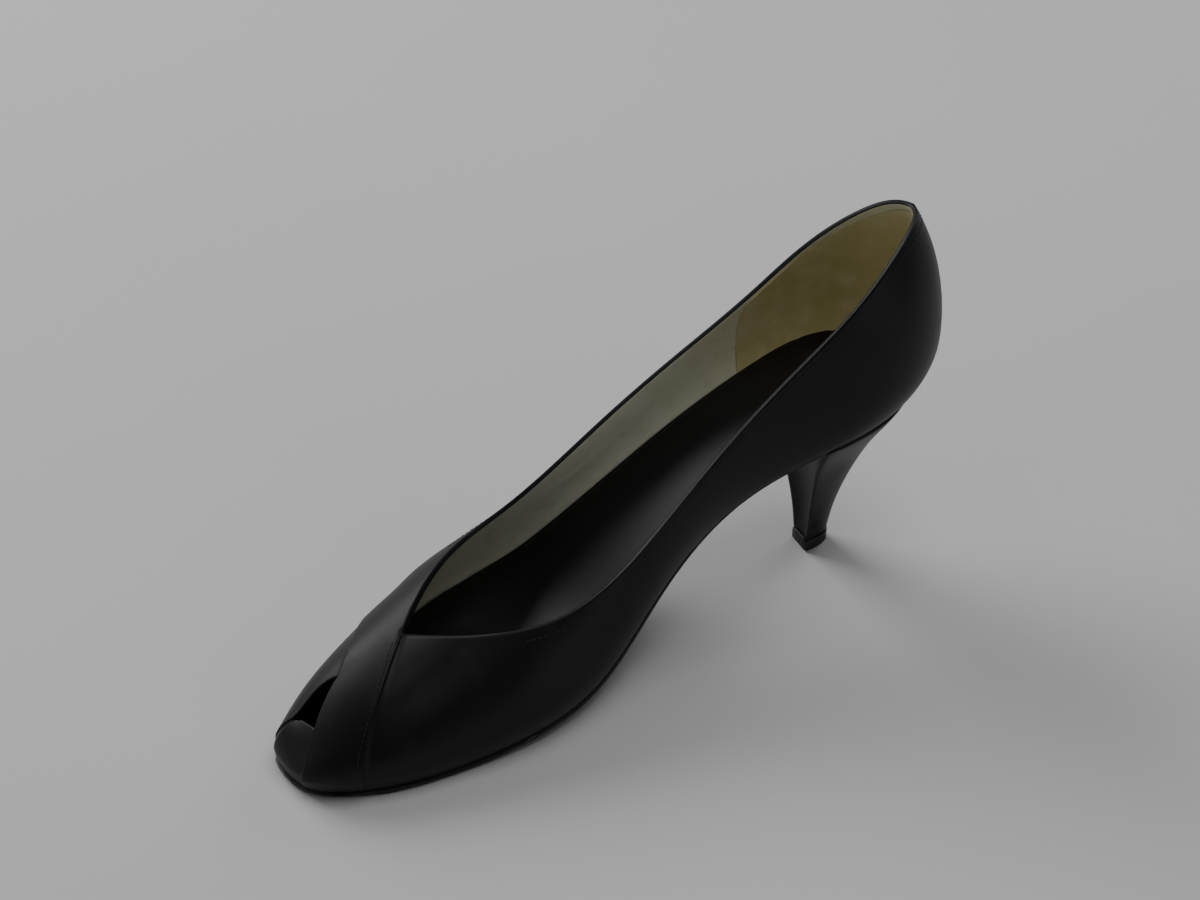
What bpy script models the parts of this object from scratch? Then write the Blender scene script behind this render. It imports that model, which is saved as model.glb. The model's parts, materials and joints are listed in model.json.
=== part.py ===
"""Peep toe pump, one right shoe on a covered heel, built around its last.

Metres, +Z up. The toe points to -X and the heel to +X; the near side, -Y, is the inner side of
the foot. A place on the last is given by its station, its rib angle and its side:
station 0 is the toe's tip and station 180 the back of the heel, and the rib angle climbs from
minus the tuck at the feather line, through 0 at the widest line, to 90 on the ridge.
"""
import math

import bmesh
import bpy
import numpy as np

for item in list(bpy.data.objects):
    bpy.data.objects.remove(item, do_unlink=True)

# Driving sizes
LAST_LENGTH = 0.2234
BALL_WIDTH = 0.0660
HEEL_RISE = 0.0665
TOE_SPRING = 0.0003
INSTEP_HEIGHT = 0.0480
BELLY_HEIGHT = 0.0200
TOE_POLE = 0.0090
HEEL_POLE = 0.0347

WALL = 0.0016
LIP_WALL = 0.0013
UNDER_WALL = 0.0019
BAND_WALL = 0.0024
MARGIN_WALL = 0.0013
MARGIN_WIDTH = 0.0070
STEP_ROW = 0.0012
STEP_TURN = 0.25

FIT_GAP = 0.0003
SOLE_THICKNESS = 0.0018
SOLE_EDGE = 0.0006
INSOLE_THICKNESS = 0.0022
INSOLE_HEEL_THICKNESS = 0.0046
INSOLE_CLEARANCE = 0.0005

HEEL_BREAST = 0.820
HEEL_FLUSH = 0.0001
TIP_FRONT = 0.1892
TIP_LENGTH = 0.0100
TIP_HALF_WIDTH = 0.0040
TOP_PIECE_HEIGHT = 0.0050
TOP_PIECE_EDGE = 0.0003
TOP_PIECE_BEVEL = 0.0004
BREAST_HOLLOW = 0.0022

NEAR = -1
FAR = 1

# Sections of the last: share of its length; half widths on the near and the far side as shares of
# the ball width; rise as a share of the heel rise; spring as a share of the toe spring; ridge
# above the feather line as a share of the instep height
SECTIONS = (
    (0.00, 0.000, 0.000, 0.000, 1.00, 0.27),
    (0.02, 0.218, 0.070, 0.000, 0.80, 0.32),
    (0.06, 0.312, 0.168, 0.000, 0.50, 0.42),
    (0.13, 0.397, 0.292, -0.002, 0.15, 0.53),
    (0.22, 0.438, 0.428, -0.003, 0.00, 0.61),
    (0.32, 0.455, 0.518, 0.026, 0.00, 0.72),
    (0.43, 0.394, 0.504, 0.096, 0.00, 0.89),
    (0.55, 0.258, 0.416, 0.378, 0.00, 1.04),
    (0.68, 0.192, 0.364, 0.674, 0.00, 1.17),
    (0.80, 0.258, 0.344, 0.860, 0.00, 1.17),
    (0.90, 0.303, 0.312, 0.955, 0.00, 1.30),
    (0.96, 0.225, 0.200, 0.985, 0.00, 1.49),
    (1.00, 0.000, 0.000, 1.000, 0.00, 1.67),
)

# Form of the ribs: share of the length; widest line above the feather line as a share of the belly
# height; tuck in degrees; fullness, where 2 is round and more is boxier; ridge off the middle plane
# as a share of the ball width
RIBS = (
    (0.00, 0.20, 13.0, 1.56, 0.000),
    (0.20, 0.35, 16.0, 2.00, 0.036),
    (0.45, 0.50, 21.5, 1.97, 0.020),
    (0.70, 0.78, 26.5, 1.88, -0.020),
    (1.00, 0.90, 35.0, 2.03, 0.000),
)

# Topline from the throat's point to the back: station, rib angle near, rib angle far
TOPLINE = (
    (53.4, 90.0, 90.0),
    (66.4, 64.5, 58.0),
    (76.1, 48.5, 42.0),
    (85.4, 36.0, 35.5),
    (95.7, 24.0, 31.0),
    (108.7, 21.0, 24.0),
    (125.5, 36.0, 26.0),
    (149.3, 48.5, 40.5),
    (180.0, 40.0, 40.0),
)

# Peep opening, the lip's top edge and then the side edge back to the opening's corner on the
# ridge: station, rib angle
NEAR_OPENING = (
    (0.0, 77.0),
    (11.7, 75.0),
    (17.1, 65.5),
    (20.7, 58.5),
    (23.5, 69.5),
    (28.0, 81.0),
    (32.9, 90.0),
)
FAR_OPENING = (
    (0.0, 77.0),
    (8.5, 65.0),
    (10.5, 70.5),
    (17.1, 73.0),
    (23.5, 74.0),
    (28.9, 77.5),
    (32.9, 90.0),
)

# Lines that cross the upper from the feather line to its top edge: station below, station above,
# bend, strips up to the next line, and the wall on this line's front and rear side
NEAR_LINES = (
    ("toe centre", 0.0, 0.0, 1.0, 4, LIP_WALL, LIP_WALL),
    ("band front edge", 14.0, 20.7, 1.9, 4, LIP_WALL, BAND_WALL),
    ("opening corner", 23.0, 32.9, 1.7, 6, BAND_WALL, BAND_WALL),
    ("band rear edge", 32.9, 53.4, 2.35, 5, BAND_WALL, WALL),
    ("ball", 62.0, 72.0, 1.0, 9, WALL, WALL),
    ("waist", 104.0, 106.0, 1.0, 8, WALL, WALL),
    ("quarter", 140.0, 140.0, 1.0, 6, WALL, WALL),
    ("back", 180.0, 180.0, 1.0, 0, WALL, WALL),
)
FAR_LINES = (
    ("toe centre", 0.0, 0.0, 1.0, 3, LIP_WALL, LIP_WALL),
    ("under piece front edge", 11.0, 8.5, 1.0, 8, LIP_WALL, UNDER_WALL),
    ("band front edge", 57.0, 32.9, 1.8, 6, UNDER_WALL, BAND_WALL),
    ("throat", 69.0, 53.4, 1.3, 4, BAND_WALL, BAND_WALL),
    ("ball", 84.0, 72.0, 1.0, 8, WALL, WALL),
    ("waist", 108.0, 106.0, 1.0, 8, WALL, WALL),
    ("quarter", 140.0, 140.0, 1.0, 6, WALL, WALL),
    ("back", 180.0, 180.0, 1.0, 0, WALL, WALL),
)
ROWS = 13

# Outsole: share of the last's length; edge beyond the upper as a share of the sole edge; bevel of
# the bottom edge as a share of the thickness
SOLE_SECTIONS = (
    (0.00, 1.0, 0.25),
    (0.20, 1.0, 0.25),
    (0.36, 0.9, 0.30),
    (0.50, 0.5, 0.50),
    (0.64, 0.2, 0.70),
    (0.82, 0.0, 0.80),
)

# Insole: share of the last's length; how far its thickness has grown to that at the heel
INSOLE_SECTIONS = (
    (0.00, 0.0),
    (0.30, 0.0),
    (0.50, 0.6),
    (0.70, 1.0),
    (1.00, 1.0),
)

# Heel from its tip to the seat: share of its height; spread of length and of width from the tip's
# outline to the seat's; hollow of the breast as a share
HEEL_LEVELS = (
    (0.00, 0.00, 0.00, 0.25),
    (0.15, 0.06, 0.05, 0.60),
    (0.35, 0.21, 0.16, 0.90),
    (0.55, 0.43, 0.33, 1.00),
    (0.72, 0.67, 0.53, 0.90),
    (0.86, 0.88, 0.76, 0.60),
    (0.94, 0.97, 0.90, 0.35),
    (1.00, 1.00, 1.00, 0.20),
)


def spline(xs, ys):
    """Natural cubic spline through a table's column, as a function of one number."""
    xs = np.asarray(xs, float)
    ys = np.asarray(ys, float)
    h = np.diff(xs)
    last = len(xs) - 1
    a = np.zeros((last + 1, last + 1))
    b = np.zeros(last + 1)
    a[0, 0] = 1.0
    a[last, last] = 1.0
    for i in range(1, last):
        a[i, i - 1 : i + 2] = (h[i - 1], 2.0 * (h[i - 1] + h[i]), h[i])
        b[i] = 3.0 * ((ys[i + 1] - ys[i]) / h[i] - (ys[i] - ys[i - 1]) / h[i - 1])
    c = np.linalg.solve(a, b)
    slope = np.diff(ys) / h - h * (2.0 * c[:-1] + c[1:]) / 3.0
    cube = np.diff(c) / (3.0 * h)

    def at(x):
        i = min(max(int(np.searchsorted(xs, x, side="right")) - 1, 0), last - 1)
        t = x - xs[i]
        return float(ys[i] + t * (slope[i] + t * (c[i] + t * cube[i])))

    return at


def station_of(share):
    """Station in degrees of a share of the last's length."""
    return math.degrees(math.acos(1.0 - 2.0 * share))


def share_of(station):
    """Share of the last's length at a station."""
    return (1.0 - math.cos(math.radians(station))) / 2.0


def column(table, index):
    return [row[index] for row in table]


shares = column(SECTIONS, 0)
stations = [station_of(share) for share in shares]
half_width = {
    NEAR: spline(stations, column(SECTIONS, 1)),
    FAR: spline(stations, column(SECTIONS, 2)),
}
rise = spline(shares, column(SECTIONS, 3))
spring = spline(shares, column(SECTIONS, 4))
ridge = spline(shares, column(SECTIONS, 5))
belly = spline(column(RIBS, 0), column(RIBS, 1))
tuck = spline(column(RIBS, 0), column(RIBS, 2))
fullness = spline(column(RIBS, 0), column(RIBS, 3))
ridge_shift = spline(column(RIBS, 0), column(RIBS, 4))
topline = {
    NEAR: spline(column(TOPLINE, 0), column(TOPLINE, 1)),
    FAR: spline(column(TOPLINE, 0), column(TOPLINE, 2)),
}
opening = {NEAR: NEAR_OPENING, FAR: FAR_OPENING}
sole_edge = spline(column(SOLE_SECTIONS, 0), column(SOLE_SECTIONS, 1))
insole_build = spline(column(INSOLE_SECTIONS, 0), column(INSOLE_SECTIONS, 1))
sole_bevel = spline(column(SOLE_SECTIONS, 0), column(SOLE_SECTIONS, 2))

# What lies between the last and the floor at the ball: lasted margin, gap and outsole
SOLE_TOP_DEPTH = MARGIN_WALL + FIT_GAP
BALL_STACK = SOLE_TOP_DEPTH + SOLE_THICKNESS


def feather_height(share):
    """Height of the feather line, which is the last's bottom edge, above the floor."""
    inside = min(max(share, 0.0), 1.0)
    return BALL_STACK + HEEL_RISE * rise(inside) + TOE_SPRING * spring(inside)


def feather_point(station, side):
    """Plan position of the feather line."""
    x = LAST_LENGTH * share_of(station)
    y = side * BALL_WIDTH * half_width[side](station)
    return np.array([x, y])


def rib_centre(station):
    """Plan position that a rib climbs towards: its point on the ridge."""
    share = share_of(station)
    x = TOE_POLE + (LAST_LENGTH - TOE_POLE - HEEL_POLE) * share
    return np.array([x, BALL_WIDTH * ridge_shift(share)])


def last_point(station, angle, side):
    """Point of the last's surface."""
    share = share_of(station)
    low = math.radians(tuck(share))
    rib = math.radians(angle)
    base = feather_height(share)
    widest = BELLY_HEIGHT * belly(share)
    reach = 1.0
    if rib < 0.0:
        reach = math.cos(rib)
        height = base + widest * (1.0 + math.sin(rib) / math.sin(low))
    else:
        power = 2.0 / fullness(share)
        reach = max(math.cos(rib), 0.0) ** power
        height = base + widest + (INSTEP_HEIGHT * ridge(share) - widest) * math.sin(rib) ** power
    centre = rib_centre(station)
    plan = centre + (feather_point(station, side) - centre) * reach / math.cos(low)
    return np.array([plan[0], plan[1], height])


def top_angle(station, side):
    """Rib angle of the upper's top edge: opening, ridge between opening and throat, then topline."""
    corner = opening[side][-1][0]
    throat = TOPLINE[0][0]
    if station < corner:
        return float(np.interp(station, column(opening[side], 0), column(opening[side], 1)))
    if station <= throat:
        return 90.0
    return min(topline[side](station), 90.0)


def bottom_slope(share):
    """Slope of the last's bottom along its length."""
    step = 0.002
    low = min(max(share - step, 0.0), 1.0 - 2.0 * step)
    high = low + 2.0 * step
    return math.atan((feather_height(high) - feather_height(low)) / (LAST_LENGTH * (high - low)))


def under_last(x, y, depth):
    """Point at a depth below the last's bottom, square to it; a negative depth is above it."""
    share = x / LAST_LENGTH
    slope = bottom_slope(share)
    return np.array([x + depth * math.sin(slope), y, feather_height(share) - depth * math.cos(slope)])


def plan_limit(x, depth):
    """Plan position along the last whose point at a depth below it comes to lie at x."""
    return x - depth * math.sin(bottom_slope(x / LAST_LENGTH))


def outline(station, side, offset):
    """Plan outline of the last's bottom, moved outwards by an offset."""
    step = 0.5
    low = max(station - step, 0.0)
    high = min(station + step, 180.0)
    along = feather_point(high, side) - feather_point(low, side)
    if station == 0.0:
        outward = np.array([-1.0, 0.0])
    elif station == 180.0:
        outward = np.array([1.0, 0.0])
    else:
        outward = side * np.array([-along[1], along[0]]) / np.hypot(*along)
    return feather_point(station, side) + offset * outward


def mesh_object(name, points, faces, material, weights=None, smooth_angle=40.0):
    """Object from points and faces, with doubles merged and faces turned outwards."""
    mesh = bpy.data.meshes.new(name)
    work = bmesh.new()
    group = work.verts.layers.deform.verify()
    corners = [work.verts.new(point) for point in points]
    for corner, weight in zip(corners, weights or []):
        corner[group][0] = weight
    for face in faces:
        work.faces.new([corners[i] for i in face])
    bmesh.ops.remove_doubles(work, verts=work.verts, dist=0.00001)
    bmesh.ops.recalc_face_normals(work, faces=work.faces)
    work.to_mesh(mesh)
    work.free()
    mesh.materials.append(material)
    mesh.shade_smooth()
    mesh.set_sharp_from_angle(angle=math.radians(smooth_angle))
    made = bpy.data.objects.new(name, mesh)
    collection.objects.link(made)
    made.parent = shoe
    return made


def loft(name, rings, material, first_cap=False, last_cap=False):
    """Closed skin through rings of equal length; an end is capped or has shrunk to a line."""
    size = len(rings[0])
    points = [point for ring in rings for point in ring]
    faces = []
    for i in range(len(rings) - 1):
        for j in range(size):
            k = (j + 1) % size
            faces.append((i * size + j, i * size + k, (i + 1) * size + k, (i + 1) * size + j))
    if first_cap:
        faces.append(tuple(range(size)))
    if last_cap:
        faces.append(tuple(range((len(rings) - 1) * size, len(rings) * size)))
    return mesh_object(name, points, faces, material)


def leather(name, colour, roughness):
    made = bpy.data.materials.new(name)
    made.use_nodes = True
    shader = made.node_tree.nodes["Principled BSDF"]
    shader.inputs["Base Color"].default_value = (*colour, 1.0)
    shader.inputs["Roughness"].default_value = roughness
    shader.inputs["Metallic"].default_value = 0.0
    return made


def upper_lines(table):
    """All the upper's crossing lines on one side: stations below and above, bend, wall."""
    lines = []
    for this, following in zip(table, table[1:]):
        _, below, above, bend, strips, _, wall = this
        _, next_below, next_above, next_bend, _, next_wall, next_rear_wall = following
        for i in range(strips):
            t = i / strips
            lines.append((
                below + (next_below - below) * t,
                above + (next_above - above) * t,
                bend + (next_bend - bend) * t,
                wall + (next_wall - wall) * t,
            ))
        if next_wall < next_rear_wall:
            lines.append((next_below - STEP_TURN, next_above - STEP_TURN, next_bend, next_wall))
        if next_wall > next_rear_wall:
            lines.append((next_below, next_above, next_bend, next_wall))
    _, below, above, bend, _, _, wall = table[-1]
    lines.append((below, above, bend, wall))
    return lines


def upper_grid(table, side):
    """Points and walls of one side of the upper, a list for each crossing line."""
    grid = []
    for number, (below, above, bend, wall) in enumerate(upper_lines(table)):
        crossing = (below, above)
        if number > 0 and grid[-1][2] == crossing:
            below += STEP_TURN
            above += STEP_TURN
        points = []
        walls = []
        foot = feather_point(below, side)
        inward = rib_centre(below) - foot
        turned = foot + inward * min(MARGIN_WIDTH / np.hypot(*inward), 0.75)
        points.append(under_last(*turned, 0.0))
        points.append(under_last(*foot, 0.0))
        walls += [MARGIN_WALL, MARGIN_WALL]
        low = -tuck(share_of(below))
        high = top_angle(above, side)
        first = STEP_ROW / (BELLY_HEIGHT * belly(share_of(below)) * 2.0)
        for row in range(ROWS):
            t = first + (1.0 - first) * row / (ROWS - 1)
            station = below + (above - below) * t**bend
            points.append(last_point(station, low + (high - low) * t, side))
            walls.append(wall)
        grid.append((points, walls, crossing))
    return grid


def build_upper(material):
    """Vamp, crossing band and quarters, lasted round the last as one wall."""
    grids = upper_grid(NEAR_LINES, NEAR), upper_grid(FAR_LINES, FAR)
    points = []
    walls = []
    faces = []
    rows = len(grids[0][0][0])
    for grid in grids:
        start = len(points)
        for line_points, line_walls, _ in grid:
            points += line_points
            walls += line_walls
        for i in range(len(grid) - 1):
            for j in range(rows - 1):
                a = start + i * rows + j
                faces.append((a, a + rows, a + rows + 1, a + 1))
    made = mesh_object("upper", points, faces, material, [wall / BAND_WALL for wall in walls])
    made.vertex_groups.new(name="wall")
    solid = made.modifiers.new("leather", "SOLIDIFY")
    solid.thickness = BAND_WALL
    solid.offset = 1.0
    solid.vertex_group = "wall"
    solid.use_even_offset = True
    solid.use_quality_normals = True
    return made


def build_insole(material):
    """Insole board with its sock, inside the lasted upper."""
    rings = []
    across = 4
    for i in range(41):
        station = 180.0 * i / 40
        share = share_of(station)
        steep = math.cos(bottom_slope(share))
        belly_height = BELLY_HEIGHT * belly(share)
        ring = []
        thickness = INSOLE_THICKNESS + (INSOLE_HEEL_THICKNESS - INSOLE_THICKNESS) * insole_build(share)
        for depth, sides in ((FIT_GAP, (NEAR, FAR)), (FIT_GAP + thickness, (FAR, NEAR))):
            angle = -math.degrees(math.asin(
                math.sin(math.radians(tuck(share))) * (1.0 - depth / steep / belly_height)))
            ends = []
            for side in sides:
                edge = last_point(station, angle, side)
                centre = np.append(rib_centre(station), edge[2])
                inward = centre - edge
                ends.append(edge + inward * (INSOLE_CLEARANCE / np.linalg.norm(inward)))
            ring += [ends[0] + (ends[1] - ends[0]) * k / across for k in range(across + 1)]
        rings.append(ring)
    return loft("insole", rings, material)


def build_outsole(material):
    """Thin leather outsole from the toe to the heel's breast, flat on the floor at the ball."""
    rings = []
    across = 4
    count = 40
    end = station_of(HEEL_BREAST)
    butt = LAST_LENGTH * HEEL_BREAST
    for i in range(count + 1):
        station = end * i / count
        share = share_of(station)
        edge = MARGIN_WALL + SOLE_EDGE * sole_edge(share)
        bevel = SOLE_THICKNESS * sole_bevel(share)
        ring = []
        layers = (
            (SOLE_TOP_DEPTH + SOLE_THICKNESS, edge - bevel, (NEAR, FAR)),
            (SOLE_TOP_DEPTH, edge, (FAR, NEAR)),
        )
        for depth, offset, sides in layers:
            ends = [outline(station, side, offset) for side in sides]
            for k in range(across + 1):
                plan = ends[0] + (ends[1] - ends[0]) * k / across
                along = min(plan[0], plan_limit(butt, depth))
                point = under_last(along, plan[1], depth)
                point[2] = max(point[2], 0.0)
                ring.append(point)
        rings.append(ring)
    return loft("outsole", rings, material, last_cap=True)


def tip_outline(turn, grow=0.0):
    """Plan outline of the heel's tip: a U with its open side to the front; turn is -1 to 1."""
    angle = abs(turn) * math.pi / 2.0
    x = TIP_FRONT - grow + (TIP_LENGTH + 2.0 * grow) * math.cos(angle) ** 0.7
    y = math.copysign((TIP_HALF_WIDTH + grow) * math.sin(angle) ** 0.8, turn)
    return np.array([x, y])


def build_heel(material):
    """Covered heel: seat as wide as the upper, slender curved back, hollow breast."""
    turns = 12
    breast = station_of(HEEL_BREAST)
    front = plan_limit(LAST_LENGTH * HEEL_BREAST + FIT_GAP, SOLE_TOP_DEPTH)
    seat = []
    tip = []
    for i in range(-turns, turns + 1):
        turn = i / turns
        side = NEAR if i < 0 else FAR
        station = 180.0 - abs(turn) ** 0.9 * (180.0 - breast)
        plan = outline(station, side, MARGIN_WALL + HEEL_FLUSH)
        seat.append(under_last(max(plan[0], front), plan[1], SOLE_TOP_DEPTH))
        tip.append(np.append(tip_outline(turn), TOP_PIECE_HEIGHT + FIT_GAP))
    heights = column(HEEL_LEVELS, 0)
    long_spread = spline(heights, column(HEEL_LEVELS, 1))
    wide_spread = spline(heights, column(HEEL_LEVELS, 2))
    hollow = spline(heights, column(HEEL_LEVELS, 3))
    rings = []
    levels = 14
    across = 4
    for i in range(levels + 1):
        t = i / levels
        ring = []
        for low, high in zip(tip, seat):
            spread = np.array([long_spread(t), wide_spread(t), t])
            ring.append(low + (high - low) * spread)
        for k in range(1, across):
            w = k / across
            point = ring[2 * turns] + (ring[0] - ring[2 * turns]) * w
            point[0] += BREAST_HOLLOW * hollow(t) * 4.0 * w * (1.0 - w)
            ring.append(point)
        rings.append(ring)
    size = len(rings[0])
    points = [point for ring in rings for point in ring]
    faces = []
    for i in range(levels):
        for j in range(size):
            k = (j + 1) % size
            faces.append((i * size + j, i * size + k, (i + 1) * size + k, (i + 1) * size + j))
    faces.append(tuple(range(size)))
    top = levels * size
    for j in range(1, turns - 1):
        faces.append((top + j, top + j + 1, top + 2 * turns - j - 1, top + 2 * turns - j))
    faces.append((top + turns - 1, top + turns, top + turns + 1))
    front_row = [top, *(top + size - k for k in range(1, across)), top + 2 * turns]
    faces.append((*front_row, top + 2 * turns - 1, top + 1))
    return mesh_object("heel", points, faces, material)


def build_top_piece(material):
    """Hard wearing top piece under the heel's tip, flat on the floor."""
    turns = 12
    rings = []
    for z, grow in ((0.0, 0.0), (TOP_PIECE_BEVEL, TOP_PIECE_EDGE), (TOP_PIECE_HEIGHT, TOP_PIECE_EDGE)):
        rings.append([np.append(tip_outline(i / turns, grow), z) for i in range(-turns, turns + 1)])
    return loft("top_piece", rings, material, first_cap=True, last_cap=True)


collection = bpy.data.collections.new("peep_toe_pump")
bpy.context.scene.collection.children.link(collection)
shoe = bpy.data.objects.new("shoe", None)
collection.objects.link(shoe)

black_calf = leather("black_calf", (0.012, 0.012, 0.015), 0.38)
black_sock = leather("black_sock", (0.014, 0.012, 0.014), 0.45)
sole_leather = leather("sole_leather", (0.020, 0.018, 0.017), 0.55)
top_piece_rubber = leather("top_piece_rubber", (0.010, 0.010, 0.010), 0.60)

pieces = [
    build_upper(black_calf),
    build_insole(black_sock),
    build_outsole(sole_leather),
    build_heel(black_calf),
    build_top_piece(top_piece_rubber),
]

# The origin is the middle of the shoe's box on the floor
bpy.context.view_layer.update()
depsgraph = bpy.context.evaluated_depsgraph_get()
corners = np.array([
    vertex.co for piece in pieces for vertex in piece.evaluated_get(depsgraph).data.vertices])
low = corners.min(axis=0)
high = corners.max(axis=0)
shoe.location = (-(low[0] + high[0]) / 2.0, -(low[1] + high[1]) / 2.0, 0.0)
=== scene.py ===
"""Looks of a black leather peep toe pump, for the right foot, standing on its sole."""

import json
import math

import bpy
import numpy as np
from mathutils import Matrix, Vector

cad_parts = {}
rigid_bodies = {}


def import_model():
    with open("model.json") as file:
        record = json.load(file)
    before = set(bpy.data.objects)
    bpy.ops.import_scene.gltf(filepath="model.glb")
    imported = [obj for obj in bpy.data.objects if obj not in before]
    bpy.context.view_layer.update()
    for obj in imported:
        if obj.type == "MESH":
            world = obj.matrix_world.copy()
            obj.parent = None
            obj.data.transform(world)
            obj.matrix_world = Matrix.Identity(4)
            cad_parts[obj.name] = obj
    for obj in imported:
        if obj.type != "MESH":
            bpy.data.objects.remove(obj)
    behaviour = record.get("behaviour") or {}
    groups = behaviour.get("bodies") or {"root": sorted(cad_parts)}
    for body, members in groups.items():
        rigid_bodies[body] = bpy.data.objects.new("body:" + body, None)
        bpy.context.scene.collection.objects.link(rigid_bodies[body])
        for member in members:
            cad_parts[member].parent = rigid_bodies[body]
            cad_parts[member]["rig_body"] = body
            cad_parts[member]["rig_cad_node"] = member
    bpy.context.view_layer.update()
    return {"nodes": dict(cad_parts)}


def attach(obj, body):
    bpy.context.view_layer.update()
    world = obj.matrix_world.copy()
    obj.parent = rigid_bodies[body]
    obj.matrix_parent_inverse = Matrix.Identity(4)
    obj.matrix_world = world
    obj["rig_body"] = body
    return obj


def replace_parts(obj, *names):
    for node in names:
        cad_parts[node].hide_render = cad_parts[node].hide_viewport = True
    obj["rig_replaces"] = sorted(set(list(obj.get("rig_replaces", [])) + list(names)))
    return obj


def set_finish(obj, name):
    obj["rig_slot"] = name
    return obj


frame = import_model()


# Upper shell: vamp, crossing band, lip panel and quarters in satin black calf, with a pale leather
# lining. The pieces are folded at their top edges, stitched into one shell and lasted, so the
# shell is the frame's own upper, smoothed, with the walking creases pressed into it.

# How near corners are joined, and how far from flat and from square two triangles make one face
WELD = 0.00001
FLAT_WITHIN = 30.0
SQUARE_WITHIN = 50.0


def copy_of(node_name, piece_name):
    """Copy of a frame node as one joined mesh of mostly four-sided faces, ready to be shaped."""
    bpy.ops.object.select_all(action="DESELECT")
    node = frame["nodes"][node_name]
    bpy.context.view_layer.objects.active = node
    node.select_set(True)
    bpy.ops.object.duplicate()
    piece = bpy.context.object
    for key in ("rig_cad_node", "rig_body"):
        if key in piece:
            del piece[key]
    piece.parent = None
    piece.name = piece_name
    piece.data.name = piece_name
    piece.data.materials.clear()
    bpy.ops.object.mode_set(mode="EDIT")
    bpy.ops.mesh.select_all(action="SELECT")
    bpy.ops.mesh.customdata_custom_splitnormals_clear()
    bpy.ops.mesh.remove_doubles(threshold=WELD)
    bpy.ops.mesh.tris_convert_to_quads(
        face_threshold=math.radians(FLAT_WITHIN),
        shape_threshold=math.radians(SQUARE_WITHIN),
    )
    bpy.ops.object.mode_set(mode="OBJECT")
    return piece


def soften(piece, sharp_angle, crease, levels):
    """Subdivides a piece and keeps the edges that turn more than an angle crisp."""
    bpy.ops.object.select_all(action="DESELECT")
    bpy.context.view_layer.objects.active = piece
    piece.select_set(True)
    bpy.ops.object.mode_set(mode="EDIT")
    bpy.ops.mesh.select_mode(type="EDGE")
    bpy.ops.mesh.select_all(action="DESELECT")
    bpy.ops.mesh.edges_select_sharp(sharpness=math.radians(sharp_angle))
    bpy.ops.transform.edge_crease(value=crease)
    bpy.ops.mesh.select_all(action="DESELECT")
    bpy.ops.object.mode_set(mode="OBJECT")
    rounding = piece.modifiers.new("rounding", "SUBSURF")
    rounding.levels = levels
    rounding.render_levels = levels
    bpy.ops.object.modifier_apply(modifier=rounding.name)
    bpy.ops.object.shade_smooth()


# Line through the middle of the foot's room, from toe to heel: places along the shoe and heights
AXIS_ALONG = (-0.098, -0.055, 0.0, 0.05, 0.092)
AXIS_HEIGHT = (0.012, 0.018, 0.040, 0.068, 0.078)
AXIS_ACROSS = 0.0015


def last_axis(x):
    """Point on the line through the foot's room that is nearest along the shoe."""
    along = min(max(x, AXIS_ALONG[0]), AXIS_ALONG[-1])
    height = float(np.interp(along, AXIS_ALONG, AXIS_HEIGHT))
    return Vector((along, AXIS_ACROSS, height))


# A face belongs to the lining if it looks this squarely into the foot's room
LINED = -0.50
LEATHER_SIDE = 0
LINING_SIDE = 1

# Edges that turn more than this stay crisp, so far
UPPER_SHARP = 26.0
UPPER_CREASE = 0.55

# The quarters' top edge is drawn up level where it crosses the middle of the back
BACK_MIDDLE = Vector((0.1066, -0.0027, 0.1285))
BACK_REACH = 0.0020
BACK_LIFT = Vector((-0.0005, 0.0, 0.0010))

upper = copy_of("upper", "upper_shell")
for vertex in upper.data.vertices:
    if (vertex.co - BACK_MIDDLE).length < BACK_REACH:
        vertex.co += BACK_LIFT
for face in upper.data.polygons:
    outward = (face.center - last_axis(face.center.x)).normalized()
    face.material_index = LINING_SIDE if face.normal.dot(outward) < LINED else LEATHER_SIDE
soften(upper, UPPER_SHARP, UPPER_CREASE, levels=2)

# Soft troughs where the vamp bends in walking: start, end, half width and depth
CREASES = (
    ((-0.0540, -0.0165, 0.0365), (-0.0900, -0.0240, 0.0200), 0.0055, 0.0016),
    ((-0.0440, -0.0240, 0.0280), (-0.0660, -0.0300, 0.0120), 0.0060, 0.0004),
    ((-0.0560, 0.0250, 0.0290), (-0.0780, 0.0310, 0.0140), 0.0060, 0.0005),
)

# Wrinkle of the outer quarter's lining, which has lifted a little from the wall, given likewise
WRINKLE = (
    ((-0.0080, 0.0300, 0.0350), (0.0136, 0.0287, 0.0474), 0.0018, 0.0006),
    ((0.0136, 0.0287, 0.0474), (0.0278, 0.0271, 0.0621), 0.0018, 0.0006),
    ((0.0278, 0.0271, 0.0621), (0.0574, 0.0263, 0.0709), 0.0018, 0.0006),
)

# Along a trough its depth follows a half wave that is cut off by this share at each end
WAVE_CUT = 0.08
LEAST_PRESS = 0.00001

on_lining = set()
for face in upper.data.polygons:
    if face.material_index == LINING_SIDE:
        on_lining.update(face.vertices)
for vertex in upper.data.vertices:
    press = 0.0
    folds = CREASES + (WRINKLE if vertex.index in on_lining else ())
    for start, end, half_width, depth in folds:
        line = Vector(end) - Vector(start)
        share = (vertex.co - Vector(start)).dot(line) / line.length_squared
        reach = min(max(share, 0.0), 1.0)
        gap = (vertex.co - Vector(start) - line * reach).length
        fade = math.sin(math.pi * (WAVE_CUT + (1.0 - 2.0 * WAVE_CUT) * reach))
        press += depth * fade * math.exp(-((gap / half_width) ** 2))
    if press > LEAST_PRESS:
        vertex.co += (last_axis(vertex.co.x) - vertex.co).normalized() * press


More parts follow.
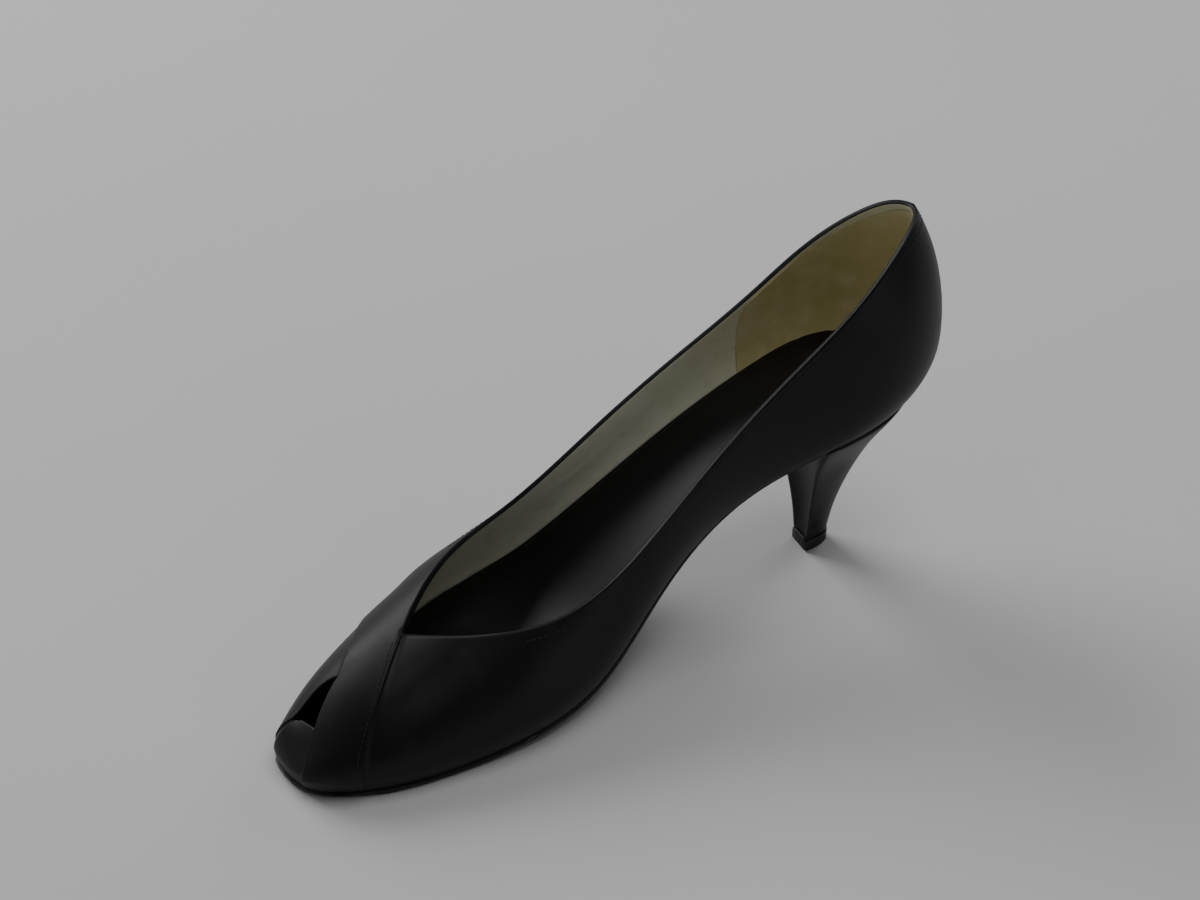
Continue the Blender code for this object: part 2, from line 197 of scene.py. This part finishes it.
class Flow:
    """What a socket of a material carries, so that sums on it are written as sums."""

    def __init__(self, tree, socket=None):
        self.tree = tree
        self.socket = socket

    def add(self, kind, settings, inputs, output=0):
        """One node of any kind: its settings first, then the values or links of its sockets."""
        node = self.tree.nodes.new(kind)
        for name, value in settings.items():
            setattr(node, name, value)
        for name, value in inputs.items():
            if isinstance(value, Flow):
                self.tree.links.new(value.socket, node.inputs[name])
            else:
                node.inputs[name].default_value = value
        return Flow(self.tree, node.outputs[output])

    def maths(self, operation, first, second):
        """Sum of two numbers, each a value or a link."""
        return self.add("ShaderNodeMath", {"operation": operation}, {0: first, 1: second})

    def __add__(self, other):
        return self.maths("ADD", self, other)

    def __radd__(self, other):
        return self.maths("ADD", other, self)

    def __sub__(self, other):
        return self.maths("SUBTRACT", self, other)

    def __rsub__(self, other):
        return self.maths("SUBTRACT", other, self)

    def __mul__(self, other):
        return self.maths("MULTIPLY", self, other)

    def __rmul__(self, other):
        return self.maths("MULTIPLY", other, self)

    def rise(self, low, high):
        """Nought up to a low value, one from a high value on, and smooth between them."""
        return self.add(
            "ShaderNodeMapRange",
            {"interpolation_type": "SMOOTHSTEP"},
            {"Value": self, "From Min": low, "From Max": high},
        )

    def blend(self, first, second):
        """Colour that goes from the first to the second as this goes from nought to one."""
        return self.add("ShaderNodeMix", {"data_type": "RGBA"}, {0: self, 6: first, 7: second}, 2)

    def noise(self, size, detail=2.0):
        """Soft mottle at this place, with spots of a size in metres."""
        return self.add(
            "ShaderNodeTexNoise",
            {},
            {"Vector": self, "Scale": 1.0 / size, "Detail": detail},
            "Fac",
        )

    def distance(self, point):
        """Distance of this place from a point."""
        return self.add("ShaderNodeVectorMath", {"operation": "DISTANCE"}, {0: self, 1: point}, "Value")

    def part(self, letter):
        """One of the three numbers of this place or direction."""
        return self.add("ShaderNodeSeparateXYZ", {}, {"Vector": self}, letter)

    def relief(self, strength, depth):
        """Surface direction with this height as fine relief, so deep in metres."""
        return self.add(
            "ShaderNodeBump",
            {},
            {"Height": self, "Strength": strength, "Distance": depth},
            "Normal",
        )


def new_finish(name, **constants):
    """Material with its shader's constant values; gives it and the place on the surface."""
    material = bpy.data.materials.new(name)
    material.use_nodes = True
    shader = material.node_tree.nodes["Principled BSDF"]
    for socket, value in constants.items():
        shader.inputs[socket.replace("_", " ")].default_value = value
    return material, Flow(material.node_tree).add("ShaderNodeTexCoord", {}, {}, "Object")


def feed(material, **links):
    """Links what varies over the surface to the material's shader."""
    shader = material.node_tree.nodes["Principled BSDF"]
    for socket, value in links.items():
        material.node_tree.links.new(value.socket, shader.inputs[socket.replace("_", " ")])


# Smooth dressed calf: sizes of its cloudy mottle, rubbed spots, pebble grain, pores and slack
MOTTLE = 0.018
RUB = 0.0035
PEBBLE = 0.00045
PORE = 0.00022
SLACK = 0.006
GRAIN_STRENGTH = 0.22
GRAIN_DEPTH = 0.00008


def calf_leather(name, deep, worn, gloss, scuffs):
    """Smooth dressed calf with fine grain, a little mottle in colour and gloss, and dull scuffs."""
    material, place = new_finish(name, Specular_IOR_Level=0.20, Coat_Roughness=0.34, Coat_IOR=1.30)
    mottle = place.noise(MOTTLE, 3.0).rise(0.35, 0.70)
    rubbed = place.noise(RUB, 4.0).rise(0.58, 0.78)
    dull = rubbed * 0.35
    for point, size in scuffs:
        dull = dull + (1.0 - place.distance(point).rise(size * 0.3, size))
    dull = dull.rise(0.0, 1.0)
    pebble = place.add("ShaderNodeTexVoronoi", {}, {"Vector": place, "Scale": 1.0 / PEBBLE}, "Distance")
    height = pebble * 0.5 + place.noise(PORE) * 0.5 + place.noise(SLACK) * 1.6
    feed(
        material,
        Base_Color=(mottle * 0.45 + rubbed * 0.30).rise(0.0, 1.0).blend(deep, worn),
        Roughness=gloss + mottle * 0.06 + dull * 0.16,
        Normal=height.relief(GRAIN_STRENGTH, GRAIN_DEPTH),
        Coat_Weight=0.12 - dull * 0.10,
    )
    return material


upper_calf = calf_leather(
    "upper_calf",
    deep=(0.0040, 0.0041, 0.0050, 1.0),
    worn=(0.0100, 0.0103, 0.0118, 1.0),
    gloss=0.45,
    scuffs=(
        ((-0.0972, -0.0212, 0.0196), 0.0012),
        ((-0.0960, -0.0230, 0.0060), 0.0022),
        ((0.0900, -0.0290, 0.0840), 0.0016),
    ),
)

# Lining: pale behind the toe and yellowed towards the heel; at the toe it is painted shade, near black,
# for the shadow inside the vamp
PAINTED_SHADE_TOE_LINING = (0.016, 0.016, 0.017, 1.0)
FRESH_LINING = (0.68, 0.69, 0.59, 1.0)
AGED_LINING = (0.50, 0.48, 0.34, 1.0)
SOILED_LINING = (0.22, 0.22, 0.17, 1.0)
# Along the shoe, the painted shade of the toe's lining gives way to the pale lining between these two
# places
PALE_FROM = -0.0800
PALE_BY = -0.0640
AGED_FROM = -0.02
AGED_BY = 0.09
lining_leather, place = new_finish("lining_leather", Specular_IOR_Level=0.35)
along = place.part("X")
cloudy = place.noise(0.012, 4.0).rise(0.35, 0.75)
aged = along.rise(AGED_FROM, AGED_BY) * 0.45 + cloudy * 0.35
soiled = place.noise(0.004, 4.0).rise(0.55, 0.80) * 0.20
pale_lining = soiled.blend(aged.blend(FRESH_LINING, AGED_LINING), SOILED_LINING)
feed(
    lining_leather,
    # Near black in front of the throat as painted shade for the shadow inside the vamp, pale lining
    # behind it
    Base_Color=along.rise(PALE_FROM, PALE_BY).blend(PAINTED_SHADE_TOE_LINING, pale_lining),
    Roughness=0.52 + cloudy * 0.10,
    Normal=place.noise(0.0009, 3.0).relief(0.30, 0.0001),
)

upper.data.materials.append(upper_calf)
upper.data.materials.append(lining_leather)
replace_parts(upper, "upper")
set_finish(upper, "black_calf")
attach(upper, "root")


# Stitch rows: fine black thread that holds the folded topline, and a row beside the rear edge of
# the crossing band that fixes it to the vamp. Each stitch lies about half sunk in the leather.

STITCH_LENGTH = 0.0015
STITCH_PITCH = 0.0019
THREAD = 0.00034
STITCH_LIFT = 0.1

# How far the topline's row runs below the fold, how far outside it is looked for, and its front end
TOPLINE_MARGIN = 0.0017
TOPLINE_REACH = 0.0036
TOPLINE_FRONT = -0.066

# Places along the band's rear edge, from the throat down to the sole
BAND_EDGE = (
    (-0.0748, -0.0018, 0.0350),
    (-0.0770, -0.0043, 0.0345),
    (-0.0833, -0.0116, 0.0318),
    (-0.0883, -0.0170, 0.0283),
    (-0.0930, -0.0215, 0.0238),
    (-0.0969, -0.0248, 0.0180),
    (-0.0994, -0.0264, 0.0105),
    (-0.0996, -0.0264, 0.0050),
)


def lining_edges(piece):
    """Closed lines along which the leather meets the lining, each a list of places in order."""
    sides = {}
    for face in piece.data.polygons:
        for key in face.edge_keys:
            sides.setdefault(key, set()).add(face.material_index)
    beside = {}
    for (a, b), kinds in sides.items():
        if len(kinds) == 2:
            beside.setdefault(a, []).append(b)
            beside.setdefault(b, []).append(a)
    lines = []
    while beside:
        here = next(iter(beside))
        line = []
        while here in beside:
            line.append(piece.data.vertices[here].co.copy())
            ahead = beside.pop(here)
            here = next((corner for corner in ahead if corner in beside), None)
        lines.append(line)
    return lines


# The topline is the line that reaches highest
collar = max(lining_edges(upper), key=lambda line: max(spot.z for spot in line))

TWIST = 0.0003
# The thread's colour goes at random between painted shade for the hollows of its twist and a painted
# highlight for its crowns
THREAD_PAINTED_SHADE = (0.008, 0.008, 0.009, 1.0)
THREAD_PAINTED_HIGHLIGHT = (0.020, 0.020, 0.022, 1.0)
thread, place = new_finish("black_thread", Specular_IOR_Level=0.30)
twist_light_and_shade = place.noise(TWIST)
feed(
    thread,
    Base_Color=twist_light_and_shade.blend(THREAD_PAINTED_SHADE, THREAD_PAINTED_HIGHLIGHT),
    Roughness=0.52 + twist_light_and_shade * 0.15,
)

bpy.ops.object.select_all(action="DESELECT")
bpy.ops.mesh.primitive_uv_sphere_add(segments=8, ring_count=6, radius=1.0)
one_stitch = bpy.context.object
bpy.ops.object.mode_set(mode="EDIT")
bpy.ops.mesh.select_all(action="SELECT")
bpy.ops.transform.resize(value=(STITCH_LENGTH / 2.0, THREAD / 2.0, THREAD / 2.0))
bpy.ops.object.mode_set(mode="OBJECT")
stitch_shape = [corner.co.copy() for corner in one_stitch.data.vertices]
stitch_faces = [tuple(face.vertices) for face in one_stitch.data.polygons]
bpy.data.objects.remove(one_stitch)


def evenly(line, pitch):
    """Places at an even pitch along a line, each with the direction of the line there."""
    places = []
    due = pitch / 2.0
    for a, b in zip(line, line[1:]):
        span = (b - a).length
        while due < span:
            places.append((a + (b - a) * (due / span), (b - a).normalized()))
            due += pitch
        due -= span
    return places


def sew(name, guide):
    """One mesh of stitches laid on the upper's outside along a guide line that runs close to it."""
    points = []
    faces = []
    for near, along in evenly(guide, STITCH_PITCH):
        _, spot, out, _ = upper.closest_point_on_mesh(near)
        along = (along - out * along.dot(out)).normalized()
        across = out.cross(along)
        start = len(points)
        for corner in stitch_shape:
            lift = corner.z + THREAD * STITCH_LIFT
            points.append(spot + along * corner.x + across * corner.y + out * lift)
        faces += [tuple(start + corner for corner in face) for face in stitch_faces]
    mesh = bpy.data.meshes.new(name)
    mesh.from_pydata(points, [], faces)
    row = bpy.data.objects.new(name, mesh)
    bpy.context.collection.objects.link(row)
    mesh.shade_smooth()
    mesh.materials.append(thread)
    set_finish(row, "black_calf")
    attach(row, "root")


topline_guide = []
for fold in collar:
    outward = fold - last_axis(fold.x)
    outward.z = 0.0
    spot = fold + outward.normalized() * TOPLINE_REACH - Vector((0.0, 0.0, TOPLINE_MARGIN))
    if spot.x > TOPLINE_FRONT:
        topline_guide.append(spot)
sew("topline_stitches", topline_guide)
sew("band_stitches", [Vector(spot) for spot in BAND_EDGE])


# Heel grip: a pocket of tan suede-faced leather glued inside the back of the quarters, so that
# the heel doesn't slip. It runs up to the topline and its front corners are rounded.

GRIP_THICKNESS = 0.0005
GRIP_SHARP = 40.0

# It is cut from the lining behind this place, without what faces up at the seat
GRIP_BEHIND = 0.055
FACING_UP = 0.75

# Planes that trim its front edge and round its upper front corner: a point, and the way to keep
GRIP_TRIMS = (
    ((0.0619, 0.0, 0.0720), (1.0, 0.0, 0.0)),
    ((0.0620, 0.0, 0.0880), (0.95, 0.0, -0.31)),
    ((0.0630, 0.0, 0.0915), (0.82, 0.0, -0.57)),
    ((0.0655, 0.0, 0.0945), (0.62, 0.0, -0.78)),
)

bpy.ops.object.select_all(action="DESELECT")
bpy.context.view_layer.objects.active = upper
upper.select_set(True)
bpy.ops.object.duplicate()
heel_grip = bpy.context.object
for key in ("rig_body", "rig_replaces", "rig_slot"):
    if key in heel_grip:
        del heel_grip[key]
heel_grip.parent = None
heel_grip.name = "heel_grip"
heel_grip.data.name = "heel_grip"
bpy.ops.object.mode_set(mode="EDIT")
bpy.ops.mesh.select_mode(type="FACE")
bpy.ops.mesh.select_all(action="DESELECT")
bpy.ops.object.mode_set(mode="OBJECT")
for face in heel_grip.data.polygons:
    inside = face.material_index == LINING_SIDE and face.normal.z < FACING_UP
    face.select = not inside or face.center.x < GRIP_BEHIND
bpy.ops.object.mode_set(mode="EDIT")
bpy.ops.mesh.delete(type="FACE")
for point, normal in GRIP_TRIMS:
    bpy.ops.mesh.select_all(action="SELECT")
    bpy.ops.mesh.bisect(plane_co=point, plane_no=normal, clear_inner=True, clear_outer=False)
bpy.ops.mesh.select_all(action="SELECT")
bpy.ops.object.mode_set(mode="OBJECT")
backing = heel_grip.modifiers.new("backing", "SOLIDIFY")
backing.thickness = GRIP_THICKNESS
backing.offset = 1.0
backing.use_rim = True
bpy.ops.object.modifier_apply(modifier=backing.name)
bpy.ops.object.shade_smooth_by_angle(angle=math.radians(GRIP_SHARP))

SUEDE_DARK = (0.44, 0.39, 0.19, 1.0)
SUEDE_LIGHT = (0.52, 0.47, 0.28, 1.0)
SUEDE_RUBBED = (0.56, 0.50, 0.32, 1.0)
NAP = 0.0007
tan_suede, place = new_finish("tan_suede", Specular_IOR_Level=0.20, Sheen_Weight=0.25)
patches = place.noise(0.010, 4.0).rise(0.35, 0.70)
rubbed = place.noise(0.0025, 4.0).rise(0.60, 0.80)
feed(
    tan_suede,
    Base_Color=(rubbed * 0.5).blend(patches.blend(SUEDE_DARK, SUEDE_LIGHT), SUEDE_RUBBED),
    Roughness=0.78 + patches * 0.12,
    Normal=place.noise(NAP, 5.0).relief(0.45, 0.00015),
)
heel_grip.data.materials.clear()
heel_grip.data.materials.append(tan_suede)
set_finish(heel_grip, "black_sock")
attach(heel_grip, "root")


# Insole and sock: a shaped fibre board, thicker under the heel, covered over its whole length by
# a plain black leather sock that is glued down and trimmed to its edge. The foot has rubbed the
# sock a little duller under the ball and under the heel.

SOCK_DEEP = (0.0050, 0.0045, 0.0054, 1.0)
SOCK_RUBBED = (0.0130, 0.0115, 0.0125, 1.0)
BALL_ON_SOCK = (-0.060, 0.0, 0.006)
HEEL_ON_SOCK = (0.082, 0.0, 0.076)
INSOLE_SHARP = 40.0
INSOLE_CREASE = 0.75

insole = copy_of("insole", "insole_with_sock")
soften(insole, INSOLE_SHARP, INSOLE_CREASE, levels=2)
sock_leather, place = new_finish(
    "sock_leather",
    Specular_IOR_Level=0.28,
    Coat_Roughness=0.38,
    Coat_IOR=1.40,
)
tread = 1.0 - place.distance(BALL_ON_SOCK).rise(0.010, 0.040)
seat = 1.0 - place.distance(HEEL_ON_SOCK).rise(0.008, 0.026)
worn = (tread * 0.8 + seat * 0.6) * place.noise(0.006, 4.0).rise(0.30, 0.70)
shade = (worn * 0.7 + place.noise(0.014, 3.0) * 0.3).rise(0.0, 1.0)
grain = place.noise(0.0005, 3.0) + place.noise(0.005) * 1.5
feed(
    sock_leather,
    Base_Color=shade.blend(SOCK_DEEP, SOCK_RUBBED),
    Roughness=0.40 + worn * 0.18,
    Normal=grain.relief(0.25, 0.0001),
    Coat_Weight=0.09 - worn * 0.06,
)
insole.data.materials.append(sock_leather)
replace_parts(insole, "insole")
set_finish(insole, "black_sock")
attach(insole, "root")


# Outsole: thin cemented leather sole with an inked black edge. Its underside is scuffed where it
# treads, under the ball and the tip of the toe.

INK = (0.006, 0.006, 0.007, 1.0)
RUBBED_INK = (0.014, 0.013, 0.012, 1.0)
SOLE_DARK = (0.020, 0.016, 0.013, 1.0)
SOLE_LIGHT = (0.040, 0.031, 0.024, 1.0)
BARE_LEATHER = (0.150, 0.115, 0.082, 1.0)
BALL_ON_SOLE = (-0.068, 0.0, 0.0)
TIP_ON_SOLE = (-0.112, 0.0, 0.001)
ALONG_THE_SOLE = (0.15, 1.0, 1.0)
SOLE_SHARP = 30.0
SOLE_CREASE = 0.80

outsole = copy_of("outsole", "leather_outsole")
soften(outsole, SOLE_SHARP, SOLE_CREASE, levels=1)
sole_finish, place = new_finish("sole_finish", Specular_IOR_Level=0.40)
facing = place.add("ShaderNodeNewGeometry", {}, {}, "Normal")
under = (0.0 - facing.part("Z")).rise(0.55, 0.85)
ball = 1.0 - place.distance(BALL_ON_SOLE).rise(0.014, 0.040)
tip = 1.0 - place.distance(TIP_ON_SOLE).rise(0.004, 0.016)
streaks = place.add("ShaderNodeMapping", {}, {"Vector": place, "Scale": ALONG_THE_SOLE})
scored = streaks.noise(0.0009, 5.0).rise(0.45, 0.70)
scuffed = (under * (ball + tip) * (0.35 + scored * 0.65)).rise(0.0, 1.0)
edge = place.noise(0.003, 3.0).rise(0.3, 0.7).blend(INK, RUBBED_INK)
bottom = place.noise(0.009, 4.0).blend(SOLE_DARK, SOLE_LIGHT)
fibres = place.noise(0.0006, 4.0) + scored * scuffed
feed(
    sole_finish,
    Base_Color=scuffed.blend(under.blend(edge, bottom), BARE_LEATHER),
    Roughness=0.42 + scuffed * 0.35 + under * 0.06,
    Normal=fibres.relief(0.35, 0.0001),
)
outsole.data.materials.append(sole_finish)
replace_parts(outsole, "outsole")
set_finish(outsole, "sole_leather")
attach(outsole, "root")


# Heel: moulded heel covered with the upper's own calf, drawn tight and turned in at the breast. It
# is scuffed a little just above its tip.

HEEL_SHARP = 38.0
HEEL_CREASE = 0.70

heel = copy_of("heel", "covered_heel")
soften(heel, HEEL_SHARP, HEEL_CREASE, levels=2)
heel_calf = calf_leather(
    "heel_calf",
    deep=(0.0040, 0.0041, 0.0049, 1.0),
    worn=(0.0095, 0.0098, 0.0110, 1.0),
    gloss=0.45,
    scuffs=(
        ((0.0760, -0.0060, 0.0120), 0.0030),
        ((0.0860, -0.0050, 0.0090), 0.0024),
    ),
)
heel.data.materials.append(heel_calf)
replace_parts(heel, "heel")
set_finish(heel, "black_calf")
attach(heel, "root")


# Top piece: the hard wearing piece of black rubber pinned under the heel's tip, trodden a little
# grey at its lower edge.

RUBBER = (0.0070, 0.0070, 0.0072, 1.0)
TRODDEN_RUBBER = (0.0420, 0.0390, 0.0360, 1.0)
TRODDEN_FROM = 0.0002
TRODDEN_BY = 0.0012
TIP_SHARP = 35.0
TIP_CREASE = 0.85

top_piece = copy_of("top_piece", "heel_top_piece")
soften(top_piece, TIP_SHARP, TIP_CREASE, levels=2)
hard_rubber, place = new_finish("hard_rubber", Specular_IOR_Level=0.40)
low = 1.0 - place.part("Z").rise(TRODDEN_FROM, TRODDEN_BY)
trodden = low * place.noise(0.0012, 4.0).rise(0.3, 0.7)
feed(
    hard_rubber,
    Base_Color=trodden.blend(RUBBER, TRODDEN_RUBBER),
    Roughness=0.50 + trodden * 0.25,
    Normal=place.noise(0.0005, 4.0).relief(0.40, 0.0001),
)
top_piece.data.materials.append(hard_rubber)
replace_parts(top_piece, "top_piece")
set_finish(top_piece, "top_piece_rubber")
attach(top_piece, "root")


# Floor: a wide, plain, pale sheet of matt board.

FLOOR_SIZE = 8.0
BOARD_SHADE = (0.60, 0.60, 0.60, 1.0)
BOARD_LIGHT = (0.64, 0.64, 0.635, 1.0)

bpy.ops.object.select_all(action="DESELECT")
bpy.ops.mesh.primitive_plane_add(size=FLOOR_SIZE, location=(0.0, 0.0, 0.0))
floor = bpy.context.object
floor.name = "floor"
board, place = new_finish("pale_board", Specular_IOR_Level=0.10)
tone = place.noise(0.25)
feed(
    board,
    Base_Color=tone.blend(BOARD_SHADE, BOARD_LIGHT),
    Roughness=0.85 + tone * 0.10,
)
floor.data.materials.append(board)


# Light: a pale room, one large soft panel behind the shoe's outer side, one overhead, and three
# faint ones that fill the inner side, the toe and the back.

ROOM_COLOUR = (0.92, 0.95, 1.0, 1.0)
ROOM_STRENGTH = 0.10
LIT_MIDDLE = Vector((0.0, 0.0, 0.04))

room = bpy.data.worlds.new("pale_room")
bpy.context.scene.world = room
room.use_nodes = True
room.node_tree.nodes["Background"].inputs["Color"].default_value = ROOM_COLOUR
room.node_tree.nodes["Background"].inputs["Strength"].default_value = ROOM_STRENGTH


def soft_panel(name, place, size, power):
    """Large square light that faces the shoe, with its side in metres and its power in watts."""
    bpy.ops.object.light_add(type="AREA", location=place)
    light = bpy.context.object
    light.name = name
    light.data.size = size
    light.data.energy = power
    light.rotation_euler = (LIT_MIDDLE - Vector(place)).to_track_quat("-Z", "Y").to_euler()


soft_panel("far_side_panel", (-0.55, 1.55, 1.12), 1.2, 26.0)
soft_panel("near_side_panel", (0.45, -1.60, 0.40), 0.8, 2.2)
soft_panel("toe_side_panel", (-1.60, 0.10, 0.55), 0.7, 2.0)
soft_panel("overhead_panel", (0.35, -0.10, 1.7), 0.9, 9.0)
soft_panel("back_panel", (1.5, 0.5, 0.8), 0.8, 5.0)


# Camera: above the shoe's inner side and in front of its toe, as in the photograph.

CAMERA_PLACE = (-0.1840, -0.3522, 0.4460)
CAMERA_TURN = (47.06, 1.24, -28.65)
CAMERA_LENS = 54.02
CAMERA_SENSOR = 36.0
NEAREST_SEEN = 0.01

bpy.ops.object.camera_add(location=CAMERA_PLACE)
camera = bpy.context.object
camera.name = "camera"
camera.rotation_euler = tuple(math.radians(turn) for turn in CAMERA_TURN)
camera.data.sensor_width = CAMERA_SENSOR
camera.data.lens = CAMERA_LENS
camera.data.clip_start = NEAREST_SEEN
bpy.context.scene.camera = camera
